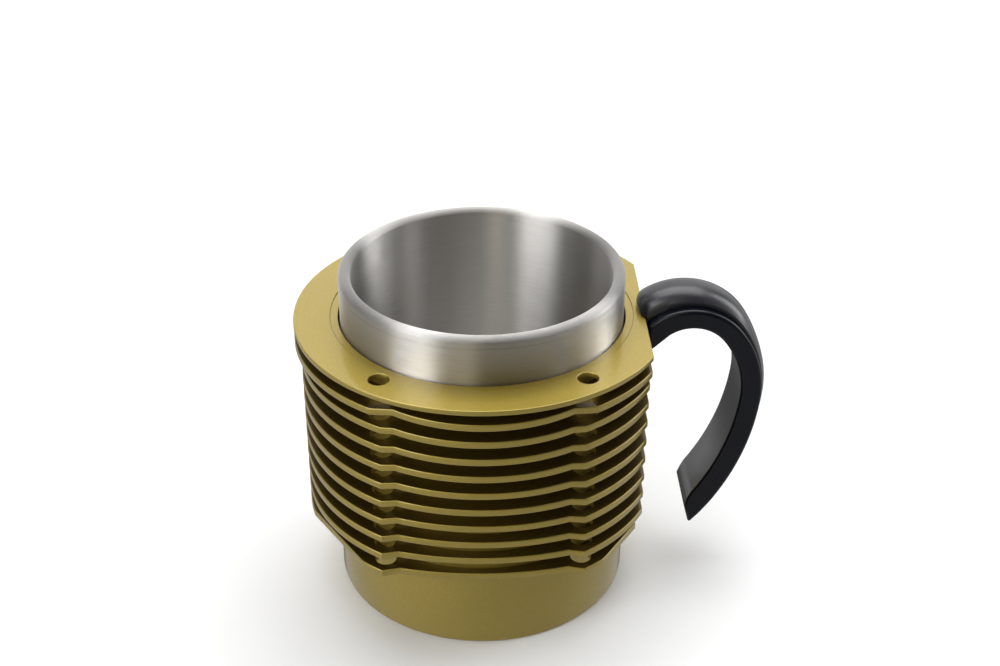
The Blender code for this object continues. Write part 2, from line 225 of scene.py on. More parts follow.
def wall(brightness, bearing, half_width, blur, low, high, over, tint=WHITE):
    """Mix a soft-edged panel over the room.

    Angles are in degrees: bearings count from the front, positive to the right, and heights from
    the horizon.
    """
    a = math.radians(bearing)
    facing = add_node(room, "ShaderNodeVectorMath", {0: compass.outputs["Vector"],
                                                     1: (math.sin(a), -math.cos(a), 0)},
                      operation="DOT_PRODUCT").outputs["Value"]
    across = soft_step(facing, 90 - half_width - blur, 90 - half_width + blur)
    above = 1.0 if low == DOWN else soft_step(rise, low - HEIGHT_BLUR, low + HEIGHT_BLUR)
    covered = 0.0 if high == UP else soft_step(rise, high - HEIGHT_BLUR, high + HEIGHT_BLUR)
    under = add_node(room, "ShaderNodeMath", {0: 1.0, 1: covered},
                     operation="SUBTRACT").outputs["Value"]
    height = add_node(room, "ShaderNodeMath", {0: above, 1: under}, operation="MULTIPLY")
    share = add_node(room, "ShaderNodeMath", {0: height.outputs["Value"], 1: across},
                     operation="MULTIPLY")
    mixed = add_node(room, "ShaderNodeMix", {"Factor": share.outputs["Value"], "A": over,
                                             "B": (*(brightness * part for part in tint), 1.0)},
                     data_type="RGBA")
    return mixed.outputs["Result"]


light = (0.5, 0.5, 0.5, 1.0)
# brightness, bearing, half width, blur, lowest and highest
light = wall(0.42, 24, 44, 16, DOWN, -4, light)         # the table, in front and below
light = wall(0.07, 28, 52, 12, -4, UP, light, WARM)     # the dark side, front right
light = wall(0.22, -118, 26, 12, 2, UP, light)          # a dim corner, back left
light = wall(0.22, 142, 18, 10, 2, UP, light)           # a dim corner, back right
light = wall(1.0, 180, 36, 14, -6, 62, light)           # the pale screen behind
light = wall(0.2, 180, 28, 8, DOWN, -6, light)          # the shadow under the screen
light = wall(1.4, -149, 15, 8, -17, -2, light)          # the lit sheet, back left
light = wall(0.85, -14, 7, 5, 6, 70, light, WARM)       # a warm gap near the camera
light = wall(0.5, 63, 5, 4, 6, 70, light)               # a faint gap at the right
light = wall(4.2, -54, 15, 7, 4, 52, light)             # the left strip light
light = wall(4.6, 110, 9, 5, 4, 52, light)              # the right strip light
seen = add_node(room, "ShaderNodeLightPath").outputs["Is Camera Ray"]
light = add_node(room, "ShaderNodeMix", {"Factor": seen, "A": light, "B": (*WHITE, 1.0)},
                 data_type="RGBA").outputs["Result"]
sky = add_node(room, "ShaderNodeBackground", {"Color": light, "Strength": 1.0})
add_node(room, "ShaderNodeOutputWorld", {"Surface": sky.outputs["Background"]})
print("room drawn with", len(room.nodes), "nodes")
bpy.context.scene.view_settings.view_transform = "Standard"
bpy.context.scene.cycles.glossy_bounces = 10

# %% [markdown]
# ## Olive-gold metallic paint
# Aluminium is blasted, then sprayed with a base coat full of fine metal flakes and a satin clear
# coat, and baked.
# To the eye it is a warm olive gold that turns pale where bright light glances off it, with a
# faint sparkle and a fine orange-peel skin.
# Flakes are really about 0.03 mm; here they are 0.25 mm, as fine as can still be seen.
# The fins get a second version with painted shade: their level faces are drawn browner, standing
# in for the shadow in the narrow gaps where light hardly reaches, so the gaps stay deep in any
# light.

# %% Paint
FLAKE_MM = 0.25
DRIFT_MM = 22.0                         # slow change of tone where the coat is thicker
ORANGE_PEEL_MM = 0.9
# Painted shade: the dark brown drawn on the fins' level faces in place of the shadow between fins.
GAP_SHADE_TONE = "#665420"
UPRIGHT_UNTIL, LEVEL_FROM = 0.75, 0.98  # how squarely a face looks up or down


def per_metre(size_mm):
    """Texture scale that gives features of about this size in mm."""
    return 1.0 / (size_mm * MM)


def paint_material(name, painted_gap_shade=False):
    """Metallic paint; the fins' version has painted shade on its level faces."""
    made, tree, output = new_material(name)
    where = add_node(tree, "ShaderNodeTexCoord").outputs["Object"]
    flakes = add_node(tree, "ShaderNodeTexVoronoi", {"Vector": where, "Scale": per_metre(FLAKE_MM)})
    flake = add_node(tree, "ShaderNodeSeparateColor", {"Color": flakes.outputs["Color"]})
    drift = add_node(tree, "ShaderNodeTexNoise", {"Vector": where, "Scale": per_metre(DRIFT_MM),
                                                  "Detail": 2.0})
    thick = add_node(tree, "ShaderNodeMix", {"Factor": drift.outputs["Fac"], "A": linear("#A7923C"),
                                             "B": linear("#AE9942")}, data_type="RGBA")
    sparkle = add_node(tree, "ShaderNodeMapRange", {"Value": flake.outputs["Red"], "To Min": 0.93,
                                                    "To Max": 1.07})
    tone = thick.outputs["Result"]
    if painted_gap_shade:
        # Painted shade: level faces are mixed toward a dark brown that stands in for the gaps'
        # shadow.
        normal = add_node(tree, "ShaderNodeNewGeometry").outputs["Normal"]
        lean = add_node(tree, "ShaderNodeSeparateXYZ", {"Vector": normal}).outputs["Z"]
        level = add_node(tree, "ShaderNodeMath", {0: lean}, operation="ABSOLUTE")
        shade_share = add_node(tree, "ShaderNodeMapRange", {"Value": level.outputs["Value"],
                                                     "From Min": UPRIGHT_UNTIL,
                                                     "From Max": LEVEL_FROM})
        tone = add_node(tree, "ShaderNodeMix", {"Factor": shade_share.outputs["Result"], "A": tone,
                                                "B": linear(GAP_SHADE_TONE)},
                        data_type="RGBA").outputs["Result"]
    base = add_node(tree, "ShaderNodeVectorMath", {0: tone, "Scale": sparkle.outputs["Result"]},
                    operation="SCALE")
    rough = add_node(tree, "ShaderNodeMapRange", {"Value": flake.outputs["Green"], "To Min": 0.42,
                                                  "To Max": 0.54})
    peel = add_node(tree, "ShaderNodeTexNoise", {"Vector": where, "Detail": 2.0,
                                                 "Scale": per_metre(ORANGE_PEEL_MM)})
    skin = add_node(tree, "ShaderNodeBump", {"Height": peel.outputs["Fac"], "Strength": 0.12,
                                             "Distance": 0.05 * MM})
    shader = add_node(tree, "ShaderNodeBsdfPrincipled", {
        "Base Color": base.outputs["Vector"], "Roughness": rough.outputs["Result"],
        "Normal": skin.outputs["Normal"], "Metallic": 0.85, "Coat Weight": 1.0,
        "Coat Roughness": 0.11})
    tree.links.new(shader.outputs["BSDF"], output.inputs["Surface"])
    return made


paint = paint_material("olive_gold_metallic_paint")
# The fins' version carries painted shade on its level faces.
fin_paint = paint_material("olive_gold_paint_painted_shade_between_fins", painted_gap_shade=True)
print("flakes of", FLAKE_MM, "mm, orange peel of", ORANGE_PEEL_MM, "mm")

# %% [markdown]
# ## Brushed stainless steel
# The cup is spun and then brushed with an abrasive belt while it turns, so its fine scratches run
# round it, and they stretch each highlight into an upright streak.
# The scratches are noise that changes fast along height and radius and slowly round the cup.
# Their tangent is made from the place on the surface, as the direction round the Z axis.
# A second set of long slanting marks is what the belt leaves where it was lifted.
# The rolled lip is a little duller than the walls, as the belt cannot follow its small round.

# %% Steel
BRUSH_MM = 0.3
BRUSH_RUN = 130.0                       # noise cells per metre round the cup: long scratches
LIFT_MARK_MM = 0.5
LIP_FROM_MM, LIP_FULL_MM = 103.4, 104.6
LIP_DULLER = 1.45


def steel_material(name, warm, cold, roughness):
    """Steel brushed round the Z axis; warm and cold are the tones that its scratches mix."""
    made, tree, output = new_material(name)
    where = add_node(tree, "ShaderNodeTexCoord").outputs["Object"]
    parts = add_node(tree, "ShaderNodeSeparateXYZ", {"Vector": where})
    flat = add_node(tree, "ShaderNodeVectorMath", {0: where, 1: (1, 1, 0)}, operation="MULTIPLY")
    radius = add_node(tree, "ShaderNodeVectorMath", {0: flat.outputs["Vector"]}, operation="LENGTH")
    across = add_node(tree, "ShaderNodeMath", {0: parts.outputs["Z"], 1: radius.outputs["Value"]},
                      operation="ADD")
    line = add_node(tree, "ShaderNodeMath", {0: across.outputs["Value"], 1: per_metre(BRUSH_MM)},
                    operation="MULTIPLY")
    along = add_node(tree, "ShaderNodeVectorMath", {0: flat.outputs["Vector"], "Scale": BRUSH_RUN},
                     operation="SCALE")
    up = add_node(tree, "ShaderNodeCombineXYZ", {"Z": line.outputs["Value"]})
    grain_at = add_node(tree, "ShaderNodeVectorMath", {0: along.outputs["Vector"],
                                                       1: up.outputs["Vector"]}, operation="ADD")
    grain = add_node(tree, "ShaderNodeTexNoise", {"Vector": grain_at.outputs["Vector"],
                                                  "Scale": 1.0, "Detail": 3.0, "Roughness": 0.6})
    turned = add_node(tree, "ShaderNodeMapping", {"Vector": where, "Rotation": (0.0, 0.6, 0.5),
                                                  "Scale": (1.0, 0.05, 1.0)})
    lift = add_node(tree, "ShaderNodeTexNoise", {"Vector": turned.outputs["Vector"],
                                                 "Scale": per_metre(LIFT_MARK_MM), "Detail": 2.0})
    marks = add_node(tree, "ShaderNodeMapRange", {"Value": lift.outputs["Fac"], "From Min": 0.52,
                                                  "From Max": 0.72})
    tone = add_node(tree, "ShaderNodeMix", {"Factor": grain.outputs["Fac"], "A": linear(warm),
                                            "B": linear(cold)}, data_type="RGBA")
    rough = add_node(tree, "ShaderNodeMapRange", {"Value": grain.outputs["Fac"], "From Min": 0.3,
                                                  "From Max": 0.7, "To Min": roughness - 0.05,
                                                  "To Max": roughness + 0.07})
    rougher = add_node(tree, "ShaderNodeMath", {0: marks.outputs["Result"], 1: 0.05,
                                                2: rough.outputs["Result"]},
                       operation="MULTIPLY_ADD")
    lip = add_node(tree, "ShaderNodeMapRange", {"Value": parts.outputs["Z"],
                                                "From Min": LIP_FROM_MM * MM,
                                                "From Max": LIP_FULL_MM * MM,
                                                "To Min": 1.0, "To Max": LIP_DULLER})
    rougher = add_node(tree, "ShaderNodeMath", {0: rougher.outputs["Value"],
                                                1: lip.outputs["Result"]}, operation="MULTIPLY")
    bump = add_node(tree, "ShaderNodeBump", {"Height": grain.outputs["Fac"], "Strength": 0.04,
                                             "Distance": 0.01 * MM})
    round_z = add_node(tree, "ShaderNodeVectorMath", {0: (0, 0, 1), 1: where},
                       operation="CROSS_PRODUCT")
    shader = add_node(tree, "ShaderNodeBsdfPrincipled", {
        "Base Color": tone.outputs["Result"], "Roughness": rougher.outputs["Value"],
        "Normal": bump.outputs["Normal"], "Tangent": round_z.outputs["Vector"], "Metallic": 1.0,
        "Anisotropic": 1.0, "Anisotropic Rotation": 0.25})
    tree.links.new(shader.outputs["BSDF"], output.inputs["Surface"])
    return made


steel = steel_material("brushed_stainless_steel", "#BFBCB7", "#D9D8D6", 0.37)
print("scratches", BRUSH_MM, "mm apart and about", round(1000 / BRUSH_RUN), "mm long")

# %% [markdown]
# ## Black coats, rubber, silicone and zinc
# The handle is cast, tumbled smooth and sprayed satin black: the bar nearly matt, the raised rib a
# little glossier and greyer.
# The foot is moulded rubber, the rings are soft silicone and rubber, and the hidden screws are
# zinc-plated steel.
# All five are a base tone with a fine skin of noise, so one function serves them.

# %% Skins
CLOUD_MM = 9.0


def skin_material(name, dark, light, rough, grain_mm, depth_mm, metallic=0.0, coat=0.0,
                  shine=0.5):
    """A surface with a mottled tone, an uneven gloss and a fine moulded or sprayed texture."""
    made, tree, output = new_material(name)
    where = add_node(tree, "ShaderNodeTexCoord").outputs["Object"]
    grain = add_node(tree, "ShaderNodeTexNoise", {"Vector": where, "Scale": per_metre(grain_mm),
                                                  "Detail": 3.0})
    cloud = add_node(tree, "ShaderNodeTexNoise", {"Vector": where, "Scale": per_metre(CLOUD_MM),
                                                  "Detail": 3.0})
    tone = add_node(tree, "ShaderNodeMix", {"Factor": cloud.outputs["Fac"], "A": linear(dark),
                                            "B": linear(light)}, data_type="RGBA")
    gloss = add_node(tree, "ShaderNodeMapRange", {"Value": cloud.outputs["Fac"], "From Min": 0.3,
                                                  "From Max": 0.7, "To Min": rough - 0.04,
                                                  "To Max": rough + 0.05})
    bump = add_node(tree, "ShaderNodeBump", {"Height": grain.outputs["Fac"], "Strength": 0.25,
                                             "Distance": depth_mm * MM})
    shader = add_node(tree, "ShaderNodeBsdfPrincipled", {
        "Base Color": tone.outputs["Result"], "Roughness": gloss.outputs["Result"],
        "Normal": bump.outputs["Normal"], "Metallic": metallic, "Coat Weight": coat,
        "Coat Roughness": 0.35, "Specular IOR Level": shine})
    tree.links.new(shader.outputs["BSDF"], output.inputs["Surface"])
    return made


# Baked enamel, sprayed on a smooth casting: nearly black, a little blue, with a soft narrow shine.
black_coat = skin_material("satin_black_enamel", "#04060D", "#080A14", 0.24, 0.3, 0.01, shine=0.3)
# The same enamel in charcoal under a thin clear coat, so the rib reads greyer and wetter.
charcoal_coat = skin_material("satin_charcoal_enamel", "#15161C", "#1C1D25", 0.3, 0.35, 0.01,
                              coat=0.45)
# Moulded rubber takes the fine grain of its mould and hardly shines.
rubber = skin_material("moulded_black_rubber", "#141414", "#1C1C1D", 0.75, 0.4, 0.05)
# Cast silicone is smoother than rubber, with a soft, waxy shine.
silicone = skin_material("soft_grey_silicone", "#6E6E6C", "#7A7A78", 0.55, 0.5, 0.02)
# Zinc is plated on in a bath: a bright, slightly cloudy metal.
zinc = skin_material("bright_zinc_plate", "#B4B6B8", "#C6C7C4", 0.3, 0.2, 0.01, metallic=1.0)
print("materials:", len(bpy.data.materials))

# %% [markdown]
# ## Keeping track of a piece
# Each finished piece is given its material, rides on a body of the measured model, and stands in
# for the CAD solid that it covers.

# %% Piece helper
def keep(piece, body, slot, finish, *nodes):
    """Give a piece its material and its place in the model."""
    piece.data.materials.clear()
    piece.data.materials.append(finish)
    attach(piece, body)
    if nodes:
        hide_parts(*nodes)
    print(piece.name, "made,", len(piece.data.polygons), "faces before its modifiers")
    return piece


def new_object(name, mesh):
    """Put a mesh or curve into the scene under this name."""
    made = bpy.data.objects.new(name, mesh)
    bpy.context.scene.collection.objects.link(made)
    return made


def settle(piece):
    """Apply a piece's modifiers and its place, so that it sits at the origin."""
    graph = bpy.context.evaluated_depsgraph_get()
    graph.update()
    done = bpy.data.meshes.new_from_object(
        piece.evaluated_get(graph), preserve_all_data_layers=True, depsgraph=graph)
    done.transform(piece.matrix_world)
    name = piece.name
    old = piece.data
    bpy.data.objects.remove(piece)
    if old.users == 0:
        (bpy.data.curves if isinstance(old, bpy.types.Curve) else bpy.data.meshes).remove(old)
    done.name = name
    return new_object(name, done)


# %% [markdown]
# ## Turned pieces
# Everything round on this mug was turned on a lathe, and Blender's Screw modifier is a lathe.
# A profile is drawn as a chain of points at the right of the axis, from the top down the outside,
# and Screw sweeps it round.
# A Bevel then breaks the sharp edges, as a maker would with a file, and its hardened normals keep
# the flat faces looking flat.

# %% Lathe
LATHE_STEPS = 144
WELD = 0.01 * MM        # points closer than this are one point
SHARP_FROM = 35         # degrees between two faces from which their edge is broken


def round_edges(piece, width_mm, segments=2):
    """Round a piece's sharp edges with a live Bevel."""
    edge = piece.modifiers.new("rounded edges", "BEVEL")
    edge.width = width_mm * MM
    edge.segments = segments
    edge.limit_method = "ANGLE"
    edge.angle_limit = math.radians(SHARP_FROM)
    edge.harden_normals = True


def turned(name, profile, edge_mm=0.3, closed=True):
    """A turned piece from (radius, height) points in mm; a point on the axis closes it there."""
    mesh = bpy.data.meshes.new(name)
    points = [(r * MM, 0.0, z * MM) for r, z in profile]
    edges = [(i, i + 1) for i in range(len(points) - 1)]
    if closed:
        edges.append((len(points) - 1, 0))
    mesh.from_pydata(points, edges, [])
    piece = new_object(name, mesh)
    lathe = piece.modifiers.new("lathe", "SCREW")
    lathe.steps = lathe.render_steps = LATHE_STEPS
    lathe.use_merge_vertices = True
    lathe.merge_threshold = WELD
    lathe.use_normal_calculate = True
    round_edges(piece, edge_mm)
    return piece


def arc(centre_x, centre_y, radius, start, stop, steps):
    """Points along an arc, both ends included; angles in degrees."""
    points = []
    for i in range(steps + 1):
        a = math.radians(start + (stop - start) * i / steps)
        points.append((centre_x + radius * math.cos(a), centre_y + radius * math.sin(a)))
    return points


# %% [markdown]
# ## The cylinder barrel
# The barrel is the tube that the fins stand on, and its lower end is the plain skirt that the mug
# stands on.
# Its outline runs from the recessed top land down the outside, over a fine step left by the tool
# above the skirt, then back up the inside past a ledge for the cup and a groove for the seal.
# The collar at its top reaches under the flange, so that no slit shows between the two.

# %% Barrel
flange_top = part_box("finned_cylinder")[1].z / MM
skirt_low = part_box("finned_cylinder")[0].z / MM
LAND = flange_top - 0.35                # the floor of the shallow recess round the cup
BORE, BARREL, COLLAR, SKIRT = 43.0, 45.0, 46.2, 45.5
COLLAR_LOW = flange_top - 1.4
LEDGE, LEDGE_LOW, LEDGE_TOP = 36.5, 8.0, 12.0
BASE_BORE = 41.5
GROOVE, GROOVE_LOW, GROOVE_TOP = BORE + 1.2, 79.7, 82.1
barrel = turned("cylinder_barrel", [
    (BORE, LAND), (COLLAR, LAND), (COLLAR, COLLAR_LOW), (BARREL, COLLAR_LOW),
    (BARREL, 27.4), (45.25, 27.1), (45.38, 19.2), (SKIRT, 18.7), (SKIRT, skirt_low),
    (BASE_BORE, skirt_low), (BASE_BORE, LEDGE_LOW), (LEDGE, LEDGE_LOW), (LEDGE, LEDGE_TOP),
    (BORE, LEDGE_TOP), (BORE, GROOVE_LOW), (GROOVE, GROOVE_LOW), (GROOVE, GROOVE_TOP),
    (BORE, GROOVE_TOP)], 0.25)
keep(barrel, "body", "olive_gold_paint", paint, "finned_cylinder")

# %% [markdown]
# ## Flange and cooling fins
# Each fin is a flat plate with a round middle, two curved shoulders, and a bowed front and back
# that dips beside each stud hole.
# A 2D curve is the natural way to draw such a plate: Blender fills between the outline and the
# holes, its extrusion gives the thickness, and its bevel rounds the rims by 0.3 mm.
# The curves are turned into meshes, lifted to their heights and joined.
# Level faces are shaded flat afterwards, because their long thin triangles would show if smooth.

# %% Plates
def plate(name, loops, z_low, z_high, rim=0.3):
    """A flat plate in mm from an outline and its holes."""
    curve = bpy.data.curves.new(name, "CURVE")
    curve.dimensions = "2D"
    curve.fill_mode = "BOTH"
    curve.bevel_depth = rim * MM
    curve.bevel_resolution = 2
    curve.offset = -rim * MM
    curve.extrude = ((z_high - z_low) / 2 - rim) * MM
    for loop in loops:
        spline = curve.splines.new("POLY")
        spline.points.add(len(loop) - 1)
        for point, (x, y) in zip(spline.points, loop):
            point.co = (x * MM, y * MM, 0.0, 1.0)
        spline.use_cyclic_u = True
    piece = new_object(name, curve)
    piece.location.z = (z_low + z_high) / 2 * MM
    piece = settle(piece)
    bm = bmesh.new()
    bm.from_mesh(piece.data)
    bmesh.ops.remove_doubles(bm, verts=bm.verts, dist=WELD)
    bmesh.ops.recalc_face_normals(bm, faces=bm.faces)
    bm.to_mesh(piece.data)
    bm.free()
    piece.data.set_sharp_from_angle(angle=math.radians(40))
    for face in piece.data.polygons:
        face.use_smooth = abs(face.normal.z) < 0.999
    return piece


def ring(radius, steps=128, x=0.0, y=0.0):
    """A closed round loop."""
    return arc(x, y, radius, 0, 360, steps)[:-1]


def join(name, plates):
    """Join finished plates into one piece."""
    bm = bmesh.new()
    for piece in plates:
        bm.from_mesh(piece.data)
        old = piece.data
        bpy.data.objects.remove(piece)
        bpy.data.meshes.remove(old)
    mesh = bpy.data.meshes.new(name)
    bm.to_mesh(mesh)
    bm.free()
    return new_object(name, mesh)


FLAT_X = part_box("finned_cylinder")[1].x / MM
FLANGE_RADIUS = -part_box("finned_cylinder")[0].x / MM
STUD_X, STUD_Y, STUD_HOLE = 29.0, 39.62, 3.0
FIN_COUNT, FIN_TOP, FIN_PITCH, FIN_THICK = 10, 86.0, 6.4, 2.2
SADDLE_X = 25.0                         # the front bow meets each shoulder here
TOP_FIN_RADIUS, FIN_RADIUS = 56.2, 54.6
LAST_FIN_RADIUS, LAST_FIN_LEAN = 52.5, 33


def stud_holes():
    """The four holes that long studs would pass through."""
    return [ring(STUD_HOLE, 32, sx * STUD_X, sy * STUD_Y) for sx in (-1, 1) for sy in (-1, 1)]


def fin_outline(index):
    """The outline of one fin; the bow gets shallower from the top fin down."""
    radius = TOP_FIN_RADIUS if index == 0 else FIN_RADIUS
    apex = 55.4 if index == 0 else 55.04 - 0.84 * index
    shoulder = 47.2 - 0.3 * index
    rise = apex - shoulder              # how far the bow stands out past the saddle
    bow = (SADDLE_X ** 2 + rise ** 2) / (2 * rise)
    half = math.degrees(math.asin(SADDLE_X / bow))
    flat = math.degrees(math.acos(FLAT_X / radius))
    corner = math.degrees(math.asin((46.6 - 0.1 * index) / radius))

    def shoulder_arc(start, stop, steps):
        """The round shoulder; the last fin is narrower and cut off straighter."""
        points = []
        for x, y in arc(0, 0, radius, start, stop, steps):
            if index == FIN_COUNT - 1:
                lean = math.atan2(abs(y), abs(x)) - math.radians(LAST_FIN_LEAN)
                shrink = min(1.0, LAST_FIN_RADIUS / max(0.2, math.cos(lean)) / radius)
                x, y = x * shrink, y * shrink
            points.append((min(x, FLAT_X), y))
        return points

    outline = shoulder_arc(flat, corner, 16)
    outline += arc(0, apex - bow, bow, 90 - half, 90 + half, 40)
    outline += shoulder_arc(180 - corner, 180 + corner, 80)
    outline += arc(0, bow - apex, bow, -90 - half, -90 + half, 40)
    outline += shoulder_arc(-corner, -flat, 16)
    return outline


fins = []
for index in range(FIN_COUNT):
    top = FIN_TOP - FIN_PITCH * index
    loops = [fin_outline(index), ring(BARREL - 0.4)] + stud_holes()
    fins.append(plate("fin", loops, top - FIN_THICK, top))
# The handle's root bolts against this pad, between the top fin and the flange.
pad = [(43.9, -9.0), (FLAT_X - 0.1, -9.0), (FLAT_X - 0.1, 9.0), (43.9, 9.0)]
fins.append(plate("pad", [pad], FIN_TOP - 0.6, flange_top - 1.2))
keep(join("cooling_fins", fins), "body", "olive_gold_paint", fin_paint)
print(FIN_COUNT, "fins,", FIN_THICK, "mm thick and", FIN_PITCH, "mm apart")

corner = math.degrees(math.acos(FLAT_X / FLANGE_RADIUS))
flange_loop = arc(0, 0, FLANGE_RADIUS, corner, 360 - corner, 180)
RECESS, FLANGE_THICK = 45.3, 1.6
flange = plate("top_flange", [flange_loop, ring(RECESS)] + stud_holes(),
               flange_top - FLANGE_THICK, flange_top, 0.25)
keep(flange, "body", "olive_gold_paint", paint)

# %% [markdown]
# ## The steel cup
# The cup is two spun shells: a liner that holds the drink and rolls over at the lip, and a jacket
# round it, with air between, so that the drink stays hot and the hand stays cool.
# Both are turned. The lip is drawn with small arcs, and the bottom corner of the liner is rounded
# so that it can be wiped clean.

# %% Liner and jacket
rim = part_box("cup_liner")[1].z / MM
cup_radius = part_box("cup_jacket")[1].x / MM
cup_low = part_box("cup_jacket")[0].z / MM
INNER, SHEET, LIP_ROUND, LIP_DEPTH, FLOOR_Z = 38.9, 0.8, 1.5, 3.2, 17.0
lip = arc(INNER + LIP_ROUND, rim - LIP_ROUND, LIP_ROUND, 180, 90, 8)
lip += arc(cup_radius - LIP_ROUND, rim - LIP_ROUND, LIP_ROUND, 90, 0, 8)
corner_in = arc(INNER - 3.0, FLOOR_Z + 3.0, 3.0, 0, -90, 8)
corner_out = arc(INNER - 2.6, FLOOR_Z + 2.6, 3.4, -90, 0, 8)
liner_profile = lip + [(cup_radius, rim - LIP_DEPTH), (INNER + SHEET, rim - LIP_DEPTH)]
liner_profile += corner_out[::-1] + [(0.0, FLOOR_Z - SHEET)]
liner_profile += [(0.0, FLOOR_Z)] + corner_in[::-1]
liner = turned("cup_liner_shell", liner_profile, 0.08)
keep(liner, "cup", "brushed_steel", steel, "cup_liner")

jacket_top = rim - LIP_DEPTH - 0.02
foot = arc(cup_radius - 0.8, cup_low + 0.8, 0.8, 0, -90, 6)
jacket_profile = [(cup_radius - SHEET, jacket_top), (cup_radius, jacket_top)] + foot
jacket = turned("cup_jacket_shell", jacket_profile, 0.05)
keep(jacket, "cup", "brushed_steel", steel, "cup_jacket")

# %% [markdown]
# ## Cup bottom and soft rings
# A disc closes the bottom of the jacket.
# A rubber ring in the bore steadies the cup at the top, and the cup stands on a flat silicone ring.
# They show only when the cup is lifted out.

# %% Hidden rings
low, high = (corner.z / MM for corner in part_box("cup_bottom_disc"))
disc_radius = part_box("cup_bottom_disc")[1].x / MM
# The underside is pressed in by 0.35 mm, so that the cup stands on a ring and not on its middle.
dish = turned("cup_bottom", [(0.0, high), (disc_radius, high), (disc_radius, low), (34.0, low),
                             (32.0, low + 0.35), (0.0, low + 0.35)], 0.12, closed=False)
keep(dish, "cup", "brushed_steel", steel, "cup_bottom_disc")

low, high = (corner.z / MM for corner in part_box("cup_seal_ring"))
seal_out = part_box("cup_seal_ring")[1].x / MM
seal = turned("bore_seal", [(cup_radius + 0.35, high - 0.35), (cup_radius + 0.7, high),
                            (seal_out, high), (seal_out, low), (cup_radius + 0.7, low),
                            (cup_radius + 0.35, low + 0.35)], 0.1)
keep(seal, "body", "black_rubber", rubber, "cup_seal_ring")

low, high = (corner.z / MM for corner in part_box("cup_cushion_ring"))
cushion_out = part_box("cup_cushion_ring")[1].x / MM
cushion = turned("cushion_ring", [(37.0, high), (cushion_out, high), (cushion_out, low),
                                  (37.0, low)], 0.2)
keep(cushion, "body", "grey_silicone", silicone, "cup_cushion_ring")

# %% [markdown]
# ## Base plate, foot and screws
# A painted plate closes the base, and a rubber foot is bonded under it, moulded with rings so that
# it grips a wet table.
# The screws are small socket heads: a turned head and shank, with the six-sided socket pushed in.
# The plate is a plain disc, so the measured model's own piece is kept and only painted.

# %% Foot and plate
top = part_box("foot_pad")[1].z / MM
foot_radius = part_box("foot_pad")[1].x / MM
# Down the side, over a small chamfer, then in over five shallow rings to the middle.
tread = [(0.0, top), (foot_radius, top), (foot_radius, 0.6), (foot_radius - 0.8, 0.0)]
for ring_radius in (36.0, 30.0, 24.0, 18.0, 12.0):
    tread += [(ring_radius + 0.7, 0.0), (ring_radius + 0.5, 0.5), (ring_radius - 0.5, 0.5),
              (ring_radius - 0.7, 0.0)]
tread.append((0.0, 0.0))
foot_pad = turned("rubber_foot", tread, 0.15, closed=False)
keep(foot_pad, "body", "black_rubber", rubber, "foot_pad")

base_plate = frame["nodes"]["base_plate"]
base_plate.data.materials.clear()
base_plate.data.materials.append(paint)


# %% Screws
def screw(name, node, place, axis, head_radius, head_high, shank_radius, length, socket):
    """A socket screw in mm: its head's face is at place, and it points along axis."""
    bm = bmesh.new()
    hexagon = [bm.verts.new((x * MM, y * MM, 0.0)) for x, y in ring(socket, 6)]
    rim_ring = [bm.verts.new((x * MM, y * MM, 0.0)) for x, y in ring(head_radius, 24)]
    for i in range(6):
        near, far = hexagon[i], hexagon[(i + 1) % 6]
        arc_verts = [rim_ring[(4 * i + k) % 24] for k in range(5)]
        bm.faces.new([far, near] + arc_verts)
    floor_ring = [bm.verts.new((v.co.x, v.co.y, 0.55 * head_high * MM)) for v in hexagon]
    for i in range(6):
        n = (i + 1) % 6
        bm.faces.new((hexagon[i], hexagon[n], floor_ring[n], floor_ring[i]))
    bm.faces.new(floor_ring)
    rings = [rim_ring]
    for radius, depth in ((head_radius, head_high), (shank_radius, head_high),
                          (shank_radius, length)):
        rings.append([bm.verts.new((x * MM, y * MM, depth * MM)) for x, y in ring(radius, 24)])
    for above, below in zip(rings, rings[1:]):
        for i in range(24):
            n = (i + 1) % 24
            bm.faces.new((above[i], above[n], below[n], below[i]))
    bm.faces.new(rings[-1])
    bmesh.ops.recalc_face_normals(bm, faces=bm.faces)
    for face in bm.faces:
        face.smooth = True
    mesh = bpy.data.meshes.new(name)
    bm.to_mesh(mesh)
    bm.free()
    piece = new_object(name, mesh)
    round_edges(piece, 0.12)
    aim = axis.to_track_quat("Z", "Y").to_matrix().to_4x4()
    piece.matrix_world = Matrix.Translation(place) @ aim
    return keep(settle(piece), "body", "zinc_plated_steel", zinc, node)


for number in range(1, 5):
    low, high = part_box("base_screw_%d" % number)
    middle = (low + high) / 2
    screw("base_socket_screw_%d" % number, "base_screw_%d" % number,
          Vector((middle.x, middle.y, low.z)), Vector((0, 0, 1)), head_radius=2.1, head_high=0.9,
          shank_radius=1.2, length=(high.z - low.z) / MM, socket=1.1)
for number in range(1, 3):
    low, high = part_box("handle_screw_%d" % number)
    middle = (low + high) / 2
    screw("handle_socket_screw_%d" % number, "handle_screw_%d" % number,
          Vector((low.x, middle.y, middle.z)), Vector((1, 0, 0)), head_radius=2.4, head_high=1.8,
          shank_radius=1.4, length=(high.x - low.x) / MM, socket=1.3)

# %% [markdown]
# ## The hook handle
# The handle is one cast hook with a raised rib along its back.
# Its middle line is three arcs that open out one after another, so the hook is tight at the top and
# nearly straight at the tip.
# The bar is a cage of plain four-cornered sections along that line, and a Bevel rounds its edges.
# A casting's inner corner is never sharp, so the bar is thicker where it leaves the body.
# Its last two sections lean over, so that the tip is cut at a slant and is longest on the outside.

# %% Path of the hook
HOOK_START = (50.49, 87.0)
HOOK_HEADING = 47.1                     # degrees above level at the start
HOOK_ARCS = ((15.99, 97.2), (31.44, 44.6), (79.1, 33.5))    # radius in mm, degrees turned
BAR_HALF_WIDTH, RIB_HALF_WIDTH = 10.0, 6.8


